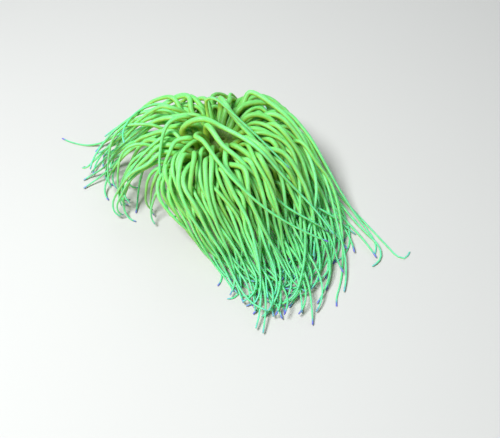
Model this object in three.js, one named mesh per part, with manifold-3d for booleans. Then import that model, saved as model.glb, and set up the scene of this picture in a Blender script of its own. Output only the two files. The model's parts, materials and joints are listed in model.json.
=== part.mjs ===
// A snakelocks anemone standing on its foot, its tentacles swept to one side.
// Millimetres, +Z up. The origin is the middle of the foot's underside.
// Most tentacles trail towards +X and -Y, and a fan of shorter ones falls towards -X.
import * as THREE from 'three';
import { mergeVertices } from 'three/addons/utils/BufferGeometryUtils.js';
import Module from 'manifold-3d';

const wasm = await Module();
wasm.setup();

// Body
const FOOT_RADIUS = 29;
const FOOT_THICK = 4;
const FOOT_EDGE = 1.5; // the slope round the foot's lower edge
const FOOT_HEIGHT = 12; // where the foot's flare has gone over into the column
const WAIST_RADIUS = 21;
const HEAD_START = 22; // height from which the column widens again
const COLUMN_TOP = 37.5;
const COLUMN_LEVELS = [10, 17, 26, 32];
const CROWN_RADIUS = 31.5;
const CROWN_TOP = 50;
const CROWN_DROP = 8; // how much lower the crown's rim is than its middle
const RIM_OVERHANG = 3; // how far the crown stands out over the column
const RIM_EDGE = 2.2; // height of the slope under the crown's rim
const ORAL_RADIUS = 9;
const DISH_DEPTH = 1.8; // how deep the middle of the oral disc lies below the crown
const DISH_EDGE = 3;
const BAND_SPLIT = 18.7; // between the crown's inner and outer band
const GAP = 0.3; // between touching pieces
const ROUND_SIDES = 20;
const SECTOR_STEP = 30; // degrees between the sides of the crown
const FLOOR_BLOCK = [600, 600, 40]; // what is cut away below z = 0
const SAME_POINT = 1e-4;
const SAME_ANGLE = 1e-4; // radians
const NEARLY_PARALLEL = 1e-9;
const TOUCHING = 1e-3;

// The lips are a ring, longer than wide
const LIP_RADIUS = 2.1;
const LIP_THICK = 1.1;
const LIP_SIDES = [6, 14];
const LIP_STRETCH = [1.35, 0.85, 0.9];
const LIP_LIFT = 1.3; // height of the ring's middle over the dish

// Tentacles
const TIP_RADIUS = 0.6;
const TAPER = 1.4;
const ROOT_DEPTH = 2; // a tentacle starts this far inside the crown
const HOLD = 5; // length that keeps the first direction
const HOOK_FROM = 0.76; // share of the length from which a tentacle hooks
const HOOK_CURVE = 1.3;
const WAVE = 12; // degrees
const SINGLE_WAVE = 3;
const WAVES = 1.6; // waves in a tentacle's length
const LANDING = 14; // height from which a falling tentacle levels out
const TOUCH = 0.12; // share of its fall that a tentacle keeps at the floor
const FLOOR_REST = 0.85; // height of a lying tentacle's middle, in its own radii
const STEPS = 32;
const KNOTS = [0, 3, 7, 11, 16, 21, 27, 32]; // steps that the solids use
const LONG_KNOTS = [0, 3, 6, 9, 12, 16, 20, 24, 27, 30, 32];
// How a long tentacle is parted in two or three lengths, as places in LONG_KNOTS
const BRANCHES = {
  2: { base: [0, 5], tip: [5, 10] },
  3: { base: [0, 3], middle: [3, 7], tip: [7, 10] },
};
const TUBE_SIDES = 4;
const TUBE_FACTOR = 1.05; // corner radius for a tentacle's radius
const NEARLY_UPRIGHT = 0.1;
const SOLID_SHARE = 0.46; // share of the ordinary tentacles that are made as solids

// Rows of tentacles from the rim inwards: distance from the axis, how many, root diameter, extra
// rise, share of the guide's length, and how much they wander. The fine ones between them push
// their neighbours aside as they settle, but are too thin to be solids here.
const ROWS = [
  { from: 29.5, count: 44, fat: 3.2, rise: 0, stretch: 0.9, wander: 1 },
  { from: 25.5, count: 38, fat: 3.5, rise: 5, stretch: 0.98, wander: 1.1 },
  { from: 21, count: 30, fat: 3.9, rise: 9, stretch: 1.06, wander: 1.1 },
  { from: 16, count: 21, fat: 4.4, rise: 0, stretch: 1, wander: 1.3 },
  { from: 11, count: 13, fat: 4.5, rise: 0, stretch: 1, wander: 1.3 },
  { from: 27.4, count: 27, fat: 2.9, rise: 4, stretch: 0.96, wander: 1.8, fine: true },
  { from: 23.2, count: 27, fat: 3.1, rise: 7, stretch: 1.02, wander: 1.9, fine: true },
  { from: 13.4, count: 13, fat: 3.4, rise: 0, stretch: 0.96, wander: 1.4, fine: true },
];
const BACK = [66, 118]; // headings of the short tentacles that hang behind
const BACK_DEPTH = 22; // the short ones grow no nearer to the axis than this
const FAN = [119, 206]; // headings of the fan on the left, which has fewer and thicker ones
const FAN_FAT = 1.2;

// How much the tentacles differ from their guides: degrees, and shares of the bend and length
const VARY = {
  stagger: 0.2,
  lean: 8,
  rise: 8,
  bend: 0.25,
  trail: 9,
  fall: 8,
  drift: 20,
  hook: 65,
  hookFrom: 0.06,
  long: 0.13,
};

// How the tentacles rooted at each heading run: first rise, length of the bend, the heading and
// fall they trail at, the drift and hook of that heading, and the length. Degrees, anticlockwise.
const GUIDE_KEYS = ['at', 'rise', 'bend', 'trail', 'fall', 'drift', 'hook', 'long'];
const OUTER_GUIDES = [
  [15, 2, 34, -43, 40, -78, -40, 146],
  [45, 2, 32, -42, 35, -72, -40, 148],
  [65, 6, 32, -42, 31, -60, -40, 148],
  [68, -10, 20, 60, 55, 20, -20, 78],
  [100, -12, 20, 100, 60, -10, -20, 70],
  [116, -10, 20, 125, 55, 0, -20, 80],
  [119, -2, 48, 174, 34, 10, 40, 104],
  [150, 0, 47, 178, 44, 14, 60, 94],
  [178, 0, 47, 180, 54, 30, 110, 86],
  [198, 2, 44, 186, 64, 56, 130, 76],
  [206, 0, 38, 196, 70, 60, 110, 70],
  [209, 26, 40, 314, 46, 16, -20, 120],
  [240, 8, 34, 307, 46, 8, -30, 122],
  [270, -10, 28, 301, 47, -10, -50, 115],
  [300, -20, 28, 302, 49, -28, -60, 117],
  [325, -18, 30, 309, 50, -54, -60, 126],
  [350, -8, 32, 313, 46, -74, -60, 138],
];
const INNER_GUIDES = [
  [0, 14, 34, -45, 42, -64, -40, 142],
  [30, 20, 34, -42, 37, -58, -30, 150],
  [60, 6, 32, -40, 32, -50, -20, 156],
  [90, 7, 32, -40, 30, -38, -20, 158],
  [106, 9, 32, -40, 30, -30, -20, 160],
  [109, 4, 50, 172, 34, 14, 30, 122],
  [150, 18, 52, 182, 44, 24, 50, 112],
  [180, 24, 48, 200, 52, 44, 80, 98],
  [198, 36, 44, 292, 46, 18, -20, 130],
  [225, 32, 42, 297, 44, 10, -20, 130],
  [270, 22, 40, 299, 44, -5, -20, 118],
  [300, 14, 38, 301, 46, -20, -20, 117],
  [330, 12, 36, 306, 46, -44, -30, 128],
];
const SHARP_TURN = 3; // guides as near as this, in degrees, don't mix

// Tentacles with a run of their own, by row and seat in the row. The last number says in how many
// lengths a long one is made; one that isn't parted is joined to its part of the crown.
const SINGLE_KEYS = [
  'row', 'seat', 'fat', 'rise', 'lean', 'hold', 'bend', 'trail', 'fall', 'drift', 'hook', 'hookFrom',
  'long', 'lengths',
];
const SINGLES = {
  left_reaching: [2, 11, 4.1, 19, 0, 5, 64, 186, 46, -14, -30, 0.8, 146, 3],
  left_hooked: [2, 12, 4.2, 56, 0, 6, 42, 186, 38, 16, -150, 0.87, 122, 2],
  left_curled: [1, 15, 3.7, 28, 0, 5, 50, 182, 26, 60, 20, 0.85, 100, 1],
  left_short: [1, 13, 3.4, 24, 0, 5, 40, 186, 6, 75, 30, 0.8, 82, 1],
  left_arched: [3, 9, 4.5, 66, 0, 8, 36, 226, 48, 76, 20, 0.85, 88, 2],
  left_looped: [3, 11, 4.5, 56, 0, 7, 30, 240, 44, 50, 220, 0.86, 84, 2],
  left_hanging: [0, 22, 3.1, 22, 0, 12, 46, 204, 66, 80, 20, 0.85, 88, 1],
  left_trailing: [0, 20, 3.1, 26, 0, 12, 56, 198, 58, 80, 20, 0.85, 98, 1],
  right_farthest: [1, 6, 3.9, 13, 0, 5, 46, -50, 30, -10, 150, 0.93, 203, 3],
  right_turned: [3, 3, 4.4, 42, 0, 6, 42, -47, 31, -6, -110, 0.86, 192, 3],
  right_long: [2, 3, 3.8, 34, 0, 5, 40, -46, 32, -12, -60, 0.88, 160, 3],
  right_behind: [2, 8, 3.9, 12, 0, 5, 32, -42, 31, -46, -20, 0.85, 150, 1],
  curtain_inner: [1, 1, 3.4, 18, 0, 5, 38, -43, 32, -64, 0, 0.9, 160, 1],
  curtain_outer: [0, 0, 3.3, 10, 0, 6, 40, -43, 34, -78, 30, 0.92, 160, 3],
  thin_crossing: [4, 5, 2.8, 88, 40, 26, 22, -32, 34, 0, 0, 0.85, 110, 1],
  top_arched: [3, 5, 5, 84, 0, 16, 18, -50, 38, 24, 0, 0.85, 165, 3],
  disc_crossing: [3, 10, 4.9, 74, -10, 10, 24, -18, 26, -34, 0, 0.85, 150, 3],
  front_crossing: [4, 8, 4.2, 70, -40, 12, 34, 296, 22, 50, 0, 0.85, 150, 3],
  front_edge: [0, 27, 3.2, 22, 0, 5, 34, 320, 50, 4, -30, 0.8, 112, 1],
  front_thin: [7, 8, 3.3, 32, 0, 5, 42, 306, 46, 22, -20, 0.8, 122, 1],
  front_thick: [4, 7, 5, 76, 0, 8, 22, 314, 32, 34, 0, 0.85, 136, 3],
};

// Settling: tentacles that meet push each other aside
const ROUNDS = 60;
const PAIRS_EVERY = 6;
const REACH = 4; // how far apart two lengths may be and still be watched
const SPACING = 0.75;
const GIVE = 0.45; // share of each overlap that a round takes away
const ROOT_STIFF = 0.2; // share of a tentacle that moves less, from its root

// Headings where the outer band and the inner band are divided
const OUTER_CUTS = [-8, 16, 45, 66, 85, 105, 143, 160, 185, 208, 221, 248, 275, 300, 322, 340];
const INNER_CUTS = [-30, 5, 30, 60, 120, 180, 240];

const GREEN = 0x8fdc6a;
const PALE_GREEN = 0xa4ecb0;
const OLIVE = 0x7d8a42;
const LIP = 0x9aa05a;
const WET_ROUGHNESS = 0.4;

const UP = new THREE.Vector3(0, 0, 1);
const radians = THREE.MathUtils.degToRad;
const { clamp, lerp } = THREE.MathUtils;

// Evenly mixed numbers from -1 to 1, the same at every run
const STRIDES = [0.6180339887, 0.7548776662, 0.569840291, 0.8191725134, 0.3247179572];
function spread(index, kind) {
  const value = 0.5 + (index + 1) * STRIDES[kind];
  return (value - Math.floor(value)) * 2 - 1;
}

function smooth(t) {
  const held = clamp(t, 0, 1);
  return held * held * (3 - 2 * held);
}

function crownHeight(rho) {
  const t = clamp((rho - ORAL_RADIUS) / (CROWN_RADIUS - ORAL_RADIUS), 0, 1);
  return CROWN_TOP - CROWN_DROP * t * t;
}

function columnRadius(z) {
  const foot = smooth(1 - z / FOOT_HEIGHT) * (FOOT_RADIUS - WAIST_RADIUS);
  const head = CROWN_RADIUS - RIM_OVERHANG - WAIST_RADIUS;
  return WAIST_RADIUS + foot + smooth((z - HEAD_START) / (COLUMN_TOP - HEAD_START)) * head;
}

function named(keys, values) {
  return Object.fromEntries(keys.map((key, n) => [key, values[n]]));
}

// The guide for a heading, mixed from its two neighbours in the table
function guideAt(table, heading) {
  const guides = table.map((values) => named(GUIDE_KEYS, values));
  const next = guides.findIndex((guide) => guide.at > heading);
  const after = next < 0 ? 0 : next;
  const before = (after + guides.length - 1) % guides.length;
  const [low, high] = [guides[before], guides[after]];
  const width = (high.at - low.at + 360) % 360;
  const share = ((heading - low.at + 360) % 360) / width;
  const t = width <= SHARP_TURN ? Math.round(share) : share;
  const guide = {};
  for (const key of GUIDE_KEYS) guide[key] = lerp(low[key], high[key], t);
  const turn = ((high.trail - low.trail + 540) % 360) - 180;
  guide.trail = low.trail + turn * t;
  return guide;
}

// One tentacle's numbers, from its row's, its guide's and its own variety
function tentacleAt(row, rowIndex, seat, index) {
  const [a, b, c, d, e] = STRIDES.map((_, kind) => spread(index, kind));
  const stagger = 0.5 * (rowIndex % 2) + VARY.stagger * a;
  const at = (((seat + stagger) * 360) / row.count + 360) % 360;
  const behind = at > BACK[0] && at < BACK[1];
  const outer = row.from > BAND_SPLIT && !(behind && row.from < BACK_DEPTH);
  const inFan = outer && at > FAN[0] && at < FAN[1];
  const guide = guideAt(outer ? OUTER_GUIDES : INNER_GUIDES, at);
  const lifted = outer && !behind;
  return {
    at,
    index,
    row: rowIndex,
    fine: row.fine,
    bare: inFan && row.fine, // no tentacle grows at this seat
    from: row.from,
    lean: -VARY.lean * row.wander * c,
    hold: HOLD,
    root: (row.fat / 2) * (inFan ? FAN_FAT : 1),
    rise: guide.rise + (lifted ? row.rise : 0) + VARY.rise * d,
    bend: guide.bend * (1 + VARY.bend * e),
    trail: guide.trail + VARY.trail * row.wander * b,
    fall: guide.fall + VARY.fall * c,
    drift: guide.drift + VARY.drift * row.wander * c,
    hook: guide.hook + VARY.hook * d,
    hookFrom: HOOK_FROM - VARY.hookFrom * b,
    wave: WAVE,
    phase: b,
    long: guide.long * (lifted ? row.stretch : 1) * (1 + VARY.long * e),
  };
}

// Every tentacle, row by row. The fan has no fine ones.
function tentacleList() {
  const list = [];
  let index = 0;
  ROWS.forEach((row, rowIndex) => {
    for (let seat = 0; seat < row.count; seat += 1) {
      index += 1;
      const tentacle = tentacleAt(row, rowIndex, seat, index);
      if (tentacle.bare) continue;
      for (const [name, values] of Object.entries(SINGLES)) {
        const single = named(SINGLE_KEYS, values);
        if (single.row !== rowIndex || single.seat !== seat) continue;
        Object.assign(tentacle, single, { name, root: single.fat / 2, wave: SINGLE_WAVE });
      }
      list.push(tentacle);
    }
  });
  return list;
}

function direction(heading, rise) {
  const flat = Math.cos(radians(rise));
  return new THREE.Vector3(
    Math.cos(radians(heading)) * flat,
    Math.sin(radians(heading)) * flat,
    Math.sin(radians(rise)),
  );
}

// Turns one direction towards another along the great circle between them
function swing(from, to, t) {
  const angle = Math.acos(clamp(from.dot(to), -1, 1));
  if (angle < SAME_ANGLE) return from.clone();
  const near = Math.sin((1 - t) * angle) / Math.sin(angle);
  const far = Math.sin(t * angle) / Math.sin(angle);
  return from.clone().multiplyScalar(near).addScaledVector(to, far);
}

function girth(tentacle, u) {
  return TIP_RADIUS + (tentacle.root - TIP_RADIUS) * (1 - u) ** TAPER;
}

// A tentacle's middle line: it leaves the crown, bends over into its trail and levels out low down
function course(tentacle) {
  const { at, from, hold, bend, long, hookFrom } = tentacle;
  const point = direction(at, 0).multiplyScalar(from);
  point.z = crownHeight(from) - ROOT_DEPTH;
  const launch = direction(at + tentacle.lean, tentacle.rise);
  const trail = direction(tentacle.trail, -tentacle.fall);
  const settled = hold + 0.5 * bend;
  const points = [point.clone()];
  for (let step = 0; step < STEPS; step += 1) {
    const u = (step + 0.5) / STEPS;
    const heading = swing(launch, trail, smooth((u * long - hold) / bend));
    const past = Math.max(0, (u * long - settled) / Math.max(1, long - settled));
    const tip = Math.max(0, (u - hookFrom) / (1 - hookFrom));
    const sway = tentacle.wave * Math.sin(2 * Math.PI * (WAVES * u + tentacle.phase)) * u;
    const turn = tentacle.drift * past + tentacle.hook * tip ** HOOK_CURVE + sway;
    heading.applyAxisAngle(UP, radians(turn));
    const rest = girth(tentacle, u) * FLOOR_REST;
    if (heading.z < 0) heading.z *= clamp((point.z - rest) / LANDING + TOUCH, 0, 1);
    point.addScaledVector(heading.normalize(), long / STEPS);
    point.z = Math.max(point.z, rest);
    points.push(point.clone());
  }
  return points;
}

// The nearest points of two straight lengths, as shares along each
function nearest(a, b) {
  const along = a.to.clone().sub(a.from);
  const other = b.to.clone().sub(b.from);
  const between = a.from.clone().sub(b.from);
  const aa = along.dot(along);
  const bb = other.dot(other);
  const ab = along.dot(other);
  const toA = along.dot(between);
  const toB = other.dot(between);
  const wide = aa * bb - ab * ab;
  const first = wide > NEARLY_PARALLEL ? clamp((ab * toB - toA * bb) / wide, 0, 1) : 0;
  const onB = clamp((ab * first + toB) / bb, 0, 1);
  const onA = clamp((ab * onB - toA) / aa, 0, 1);
  const apart = a.from.clone().addScaledVector(along, onA);
  apart.sub(b.from).addScaledVector(other, -onB);
  return { onA, onB, apart };
}

// Lets the tentacles push each other aside until they lie clear of one another
function settle(runs) {
  let pairs = [];
  for (let round = 0; round < ROUNDS; round += 1) {
    if (round % PAIRS_EVERY === 0) pairs = closePairs(runs);
    for (const run of runs) run.moves = run.points.map(() => new THREE.Vector3());
    for (const [runA, a, runB, b] of pairs) {
      const lengthA = { from: runA.points[a], to: runA.points[a + 1] };
      const lengthB = { from: runB.points[b], to: runB.points[b + 1] };
      const { onA, onB, apart } = nearest(lengthA, lengthB);
      const radiusA = lerp(runA.radii[a], runA.radii[a + 1], onA);
      const radiusB = lerp(runB.radii[b], runB.radii[b + 1], onB);
      const wanted = radiusA + radiusB + SPACING;
      const distance = apart.length();
      if (distance >= wanted) continue;
      if (distance < TOUCHING) apart.set(0, 0, 1);
      apart.setLength((wanted - distance) * GIVE);
      runA.moves[a].addScaledVector(apart, 1 - onA);
      runA.moves[a + 1].addScaledVector(apart, onA);
      runB.moves[b].addScaledVector(apart, onB - 1);
      runB.moves[b + 1].addScaledVector(apart, -onB);
    }
    for (const run of runs) shift(run);
  }
}

function closePairs(runs) {
  const lengths = [];
  runs.forEach((run) => {
    for (let n = 0; n + 1 < run.points.length; n += 1) {
      const middle = run.points[n].clone().add(run.points[n + 1]).multiplyScalar(0.5);
      const reach = run.points[n].distanceTo(run.points[n + 1]) / 2 + run.radii[n];
      lengths.push({ run, n, middle, reach });
    }
  });
  const pairs = [];
  for (let i = 0; i < lengths.length; i += 1) {
    for (let j = i + 1; j < lengths.length; j += 1) {
      const [a, b] = [lengths[i], lengths[j]];
      if (a.run === b.run) continue;
      if (a.middle.distanceTo(b.middle) > a.reach + b.reach + REACH) continue;
      pairs.push([a.run, a.n, b.run, b.n]);
    }
  }
  return pairs;
}

// Moves one tentacle's points by what pushed them, evened out along it, clear of floor and column
function shift(run) {
  const last = run.points.length - 1;
  run.points.forEach((point, n) => {
    const before = run.moves[Math.max(0, n - 1)];
    const after = run.moves[Math.min(last, n + 1)];
    const move = run.moves[n].clone().multiplyScalar(0.5);
    move.addScaledVector(before, 0.25).addScaledVector(after, 0.25);
    point.addScaledVector(move, smooth(run.shares[n] / ROOT_STIFF));
    point.z = Math.max(point.z, run.radii[n] * FLOOR_REST);
    if (run.shares[n] < ROOT_STIFF || point.z > COLUMN_TOP) return;
    const clear = columnRadius(point.z) + run.radii[n] + SPACING;
    const out = Math.hypot(point.x, point.y);
    if (out >= clear || out < 1) return;
    point.x *= clear / out;
    point.y *= clear / out;
  });
}

function isParted({ lengths }) {
  return lengths > 1;
}

// The tentacles' bent lines through the knots that the solids use, settled together
function settledRuns() {
  const runs = tentacleList().map((tentacle) => {
    const line = course(tentacle);
    const knots = isParted(tentacle) ? LONG_KNOTS : KNOTS;
    return {
      tentacle,
      points: knots.map((knot) => line[knot].clone()),
      radii: knots.map((knot) => girth(tentacle, knot / STEPS)),
      shares: knots.map((knot) => knot / STEPS),
    };
  });
  settle(runs);
  return runs;
}

// A closed body through rings of equal count, with a flat cap at each end
function closedBody(rings) {
  const count = rings[0].length;
  const points = rings.flat();
  const faces = [];
  for (let r = 0; r + 1 < rings.length; r += 1) {
    for (let n = 0; n < count; n += 1) {
      const [a, b] = [r * count + n, r * count + ((n + 1) % count)];
      faces.push(a, b, b + count, a, b + count, a + count);
    }
  }
  const last = (rings.length - 1) * count;
  for (let n = 1; n + 1 < count; n += 1) {
    faces.push(0, n + 1, n, last, last + n, last + n + 1);
  }
  const geometry = new THREE.BufferGeometry().setFromPoints(points);
  geometry.setIndex(faces);
  return geometry;
}

// A tapered tube along a bent line, its section carried from knot to knot without twisting
function tube(points, radii, grow) {
  const tangents = points.map((point, n) => {
    const before = points[Math.max(0, n - 1)];
    const after = points[Math.min(points.length - 1, n + 1)];
    return after.clone().sub(before).normalize();
  });
  const side = UP.clone().cross(tangents[0]);
  if (side.length() < NEARLY_UPRIGHT) side.set(1, 0, 0);
  const rings = points.map((point, n) => {
    side.addScaledVector(tangents[n], -side.dot(tangents[n])).normalize();
    const up = tangents[n].clone().cross(side);
    return Array.from({ length: TUBE_SIDES }, (_, corner) => {
      const angle = ((corner + 0.5) / TUBE_SIDES) * 2 * Math.PI;
      const radius = radii[n] * TUBE_FACTOR + grow;
      return point.clone()
        .addScaledVector(side, Math.cos(angle) * radius)
        .addScaledVector(up, Math.sin(angle) * radius);
    });
  });
  return closedBody(rings);
}

// One sector of the crown between two headings and two distances, its top following the crown
function crownSector(fromAngle, toAngle, near, far, grow) {
  const bottom = COLUMN_TOP + GAP - grow;
  const profile = [[near - grow, bottom]];
  if (far === CROWN_RADIUS) {
    profile.push([far - RIM_OVERHANG + grow, bottom], [far + grow, bottom + RIM_EDGE]);
  } else {
    profile.push([far + grow, bottom]);
  }
  profile.push([far + grow, crownHeight(far) + grow], [near - grow, crownHeight(near) + grow]);
  profile.reverse();
  const steps = Math.ceil((toAngle - fromAngle) / SECTOR_STEP);
  const inset = GAP / 2 - grow;
  const rings = [];
  for (let step = 0; step <= steps; step += 1) {
    const angle = radians(lerp(fromAngle, toAngle, step / steps));
    let across = 0;
    if (step === 0) across = inset;
    if (step === steps) across = -inset;
    rings.push(profile.map(([rho, z]) => new THREE.Vector3(
      Math.cos(angle) * rho - Math.sin(angle) * across,
      Math.sin(angle) * rho + Math.cos(angle) * across,
      z,
    )));
  }
  return closedBody(rings);
}

function toSolid(geometry) {
  const plain = geometry.clone();
  plain.deleteAttribute('normal');
  plain.deleteAttribute('uv');
  const merged = mergeVertices(plain, SAME_POINT);
  return new wasm.Manifold(new wasm.Mesh({
    numProp: 3,
    vertProperties: new Float32Array(merged.attributes.position.array),
    triVerts: new Uint32Array(merged.index.array),
  }));
}

function toGeometry(solid) {
  const mesh = solid.getMesh();
  const geometry = new THREE.BufferGeometry();
  const corners = new Float32Array(mesh.vertProperties);
  geometry.setAttribute('position', new THREE.BufferAttribute(corners, 3));
  geometry.setIndex(new THREE.BufferAttribute(new Uint32Array(mesh.triVerts), 1));
  return geometry;
}

// Everything below the floor is cut away, so a lying tentacle has a flat to rest on
const underFloor = (() => {
  const block = new THREE.BoxGeometry(...FLOOR_BLOCK);
  block.translate(0, 0, -FLOOR_BLOCK[2] / 2);
  return toSolid(block);
})();

// The largest connected piece of a solid
function mainPiece(solid) {
  return solid.decompose().reduce((best, piece) => (piece.volume() > best.volume() ? piece : best));
}

// Two solids whose boxes meet may touch
function boxesMeet(a, b) {
  return [0, 1, 2].every((axis) => a.min[axis] <= b.max[axis] && b.min[axis] <= a.max[axis]);
}

const anemone = new THREE.Group();
const taken = []; // what is placed so far, each grown by the gap

// Adds a piece, clear of the floor and of everything placed before it
function place(name, color, shape) {
  let solid = shape(0).subtract(underFloor);
  for (const other of taken) {
    if (boxesMeet(solid.boundingBox(), other.boundingBox())) solid = solid.subtract(other);
  }
  taken.push(shape(GAP));
  const material = new THREE.MeshStandardMaterial({ color, roughness: WET_ROUGHNESS, metalness: 0 });
  const mesh = new THREE.Mesh(toGeometry(mainPiece(solid)), material);
  mesh.name = name;
  anemone.add(mesh);
}

// A round body turned about the upright axis, its profile grown outwards from its own middle
function turnedBody(profile, grow) {
  const middle = profile[0][1] / 2 + profile.at(-1)[1] / 2;
  const points = profile.map(([rho, z]) => new THREE.Vector2(
    rho > 0 ? rho + grow : 0,
    z + Math.sign(z - middle) * grow,
  ));
  const geometry = new THREE.LatheGeometry(points, ROUND_SIDES);
  geometry.rotateX(Math.PI / 2);
  return geometry;
}

function placeBody() {
  const foot = [
    [0, 0],
    [FOOT_RADIUS - FOOT_EDGE, 0],
    [FOOT_RADIUS, FOOT_EDGE],
    [columnRadius(FOOT_THICK), FOOT_THICK],
    [0, FOOT_THICK],
  ];
  place('pedal_disc', OLIVE, (grow) => toSolid(turnedBody(foot, grow)));

  const bottom = FOOT_THICK + GAP;
  const wall = [bottom, ...COLUMN_LEVELS, COLUMN_TOP].map((z) => [columnRadius(z), z]);
  const column = [[0, bottom], ...wall, [0, COLUMN_TOP]];
  place('column', OLIVE, (grow) => toSolid(turnedBody(column, grow)));

  const base = COLUMN_TOP + GAP;
  const dish = CROWN_TOP - DISH_DEPTH;
  const disc = [
    [0, base],
    [ORAL_RADIUS, base],
    [ORAL_RADIUS, CROWN_TOP - GAP],
    [ORAL_RADIUS - DISH_EDGE, dish],
    [0, dish],
  ];
  place('oral_disc', OLIVE, (grow) => toSolid(turnedBody(disc, grow)));

  place('mouth', LIP, (grow) => {
    const lips = new THREE.TorusGeometry(LIP_RADIUS, LIP_THICK + grow, ...LIP_SIDES);
    lips.scale(...LIP_STRETCH);
    lips.translate(0, 0, dish + LIP_LIFT);
    return toSolid(lips);
  });
}

// One length of a long tentacle, drawn back by half a gap where the next length meets it
function lengthOf(run, [from, to], grow) {
  const points = run.points.slice(from, to + 1).map((point) => point.clone());
  const last = points.length - 1;
  const first = points[0].clone();
  const shorten = (point, towards) => point.lerp(towards, GAP / 2 / point.distanceTo(towards));
  if (from > 0) shorten(points[0], points[1]);
  if (to < run.points.length - 1) shorten(points[last], last > 1 ? points[last - 1] : first);
  return toSolid(tube(points, run.radii.slice(from, to + 1), grow));
}

// The crown's sector with every tentacle that grows from it, as one body
function crownLock(runs, cuts, n, near, far, grow) {
  const from = cuts[n];
  const to = n + 1 < cuts.length ? cuts[n + 1] : cuts[0] + 360;
  let body = toSolid(crownSector(from, to, near, far, grow));
  for (const { tentacle, points, radii } of runs) {
    const inside = (tentacle.at - from + 360) % 360 < to - from;
    if (inside) body = body.add(toSolid(tube(points, radii, grow)));
  }
  return body;
}

function inSolids({ name, fine, index }) {
  return Boolean(name) || (!fine && (index * STRIDES[0]) % 1 < SOLID_SHARE);
}

function placeTentacles() {
  const runs = settledRuns();
  for (const run of runs.filter(({ tentacle }) => isParted(tentacle))) {
    const { name, lengths } = run.tentacle;
    for (const [part, knots] of Object.entries(BRANCHES[lengths])) {
      const colour = part === 'base' ? GREEN : PALE_GREEN;
      place(`${name}_${part}`, colour, (grow) => lengthOf(run, knots, grow));
    }
  }
  const joined = runs.filter(({ tentacle }) => !isParted(tentacle) && inSolids(tentacle));
  const outer = joined.filter(({ tentacle }) => tentacle.from > BAND_SPLIT);
  const inner = joined.filter(({ tentacle }) => tentacle.from < BAND_SPLIT);
  OUTER_CUTS.forEach((_, n) => place(`outer_tentacles_${n + 1}`, GREEN, (grow) => (
    crownLock(outer, OUTER_CUTS, n, BAND_SPLIT + GAP / 2, CROWN_RADIUS, grow)
  )));
  INNER_CUTS.forEach((_, n) => place(`inner_tentacles_${n + 1}`, GREEN, (grow) => (
    crownLock(inner, INNER_CUTS, n, ORAL_RADIUS + GAP, BAND_SPLIT - GAP / 2, grow)
  )));
}

placeBody();
placeTentacles();

export default anemone;
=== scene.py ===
# %% [markdown]
# # A snakelocks anemone
#
# A soft body stands on its foot and carries two hundred long tentacles. The solid parts of the
# model already exist, faceted and a little apart from each other, and this file gives them one
# smooth skin and its colours. Everything is worked out in millimetres, and turned into metres
# when a mesh is made.

# %% The frame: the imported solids, in metres, with +Z up
import json
import math

import bpy
import numpy as np
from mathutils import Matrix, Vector

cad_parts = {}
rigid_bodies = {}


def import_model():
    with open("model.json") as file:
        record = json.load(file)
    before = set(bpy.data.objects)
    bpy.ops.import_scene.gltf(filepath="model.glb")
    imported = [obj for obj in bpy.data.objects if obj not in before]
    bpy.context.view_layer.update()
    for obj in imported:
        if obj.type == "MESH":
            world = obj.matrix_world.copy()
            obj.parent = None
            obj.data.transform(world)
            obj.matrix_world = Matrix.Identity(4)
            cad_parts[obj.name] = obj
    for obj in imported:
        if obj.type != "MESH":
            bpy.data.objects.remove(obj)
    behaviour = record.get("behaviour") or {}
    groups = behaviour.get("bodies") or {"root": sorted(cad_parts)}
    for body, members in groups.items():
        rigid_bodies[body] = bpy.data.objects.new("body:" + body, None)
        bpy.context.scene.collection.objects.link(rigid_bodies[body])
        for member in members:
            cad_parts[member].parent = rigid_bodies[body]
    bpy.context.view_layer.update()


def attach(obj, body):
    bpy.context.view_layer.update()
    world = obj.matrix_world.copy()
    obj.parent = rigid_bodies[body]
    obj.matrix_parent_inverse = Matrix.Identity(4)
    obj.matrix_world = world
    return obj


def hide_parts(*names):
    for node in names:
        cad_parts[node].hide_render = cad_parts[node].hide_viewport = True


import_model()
MM = 0.001

# %% [markdown]
# ## The camera
#
# The animal is seen from in front and well above, from half a metre. A 50 mm lens on the usual
# 36 mm sensor shows it nearly as flat as an eye does. The camera could be placed by hand, but an
# angle, a distance and a point to aim at say the same and are easier to change. The point lies in
# front of the crown and low down, which leaves the crown in the upper part of the frame.

# %% Camera
CROWN_TOP = 50.0
LENS = 50.0
SENSOR = 36.0
LOOK_DOWN = 46.0  # degrees
FAR_AWAY = 500.0  # from the middle of the crown
AIM = (18.7, -42.4, 9.0)

camera_data = bpy.data.cameras.new("camera")
camera_data.lens = LENS
camera_data.sensor_width = SENSOR
camera = bpy.data.objects.new("camera", camera_data)
bpy.context.scene.collection.objects.link(camera)
down = math.radians(LOOK_DOWN)
camera.location = Vector((0, -math.cos(down), math.sin(down))) * FAR_AWAY * MM
camera.location.z += CROWN_TOP * MM
camera.rotation_euler = (Vector(AIM) * MM - camera.location).to_track_quat("-Z", "Y").to_euler()
bpy.context.scene.camera = camera
print("camera at", tuple(round(v, 3) for v in camera.location))

# %% [markdown]
# ## The plan of the tentacles
#
# Tentacles grow in rings. The outer ones are many and thin, the inner ones few and thick. Each
# leaves the crown upwards, bends over, and trails in a direction that depends on where it is
# rooted. They could be drawn one by one, but two hundred curves are hard to edit, or combed as
# hair, which is hard to repeat exactly. So two short tables of guides give the course at some
# headings, the rest is mixed from them, and only the ones that stand out have a course of their
# own. That keeps the whole head of tentacles editable with a few numbers.

# %% Sizes of the body and the rows
CROWN_RADIUS = 31.5
CROWN_DROP = 8.0  # how much lower the rim is than the middle
ORAL_RADIUS = 9.0
COLUMN_TOP = 37.5
WAIST_RADIUS = 21.0
FOOT_RADIUS = 29.0

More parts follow.
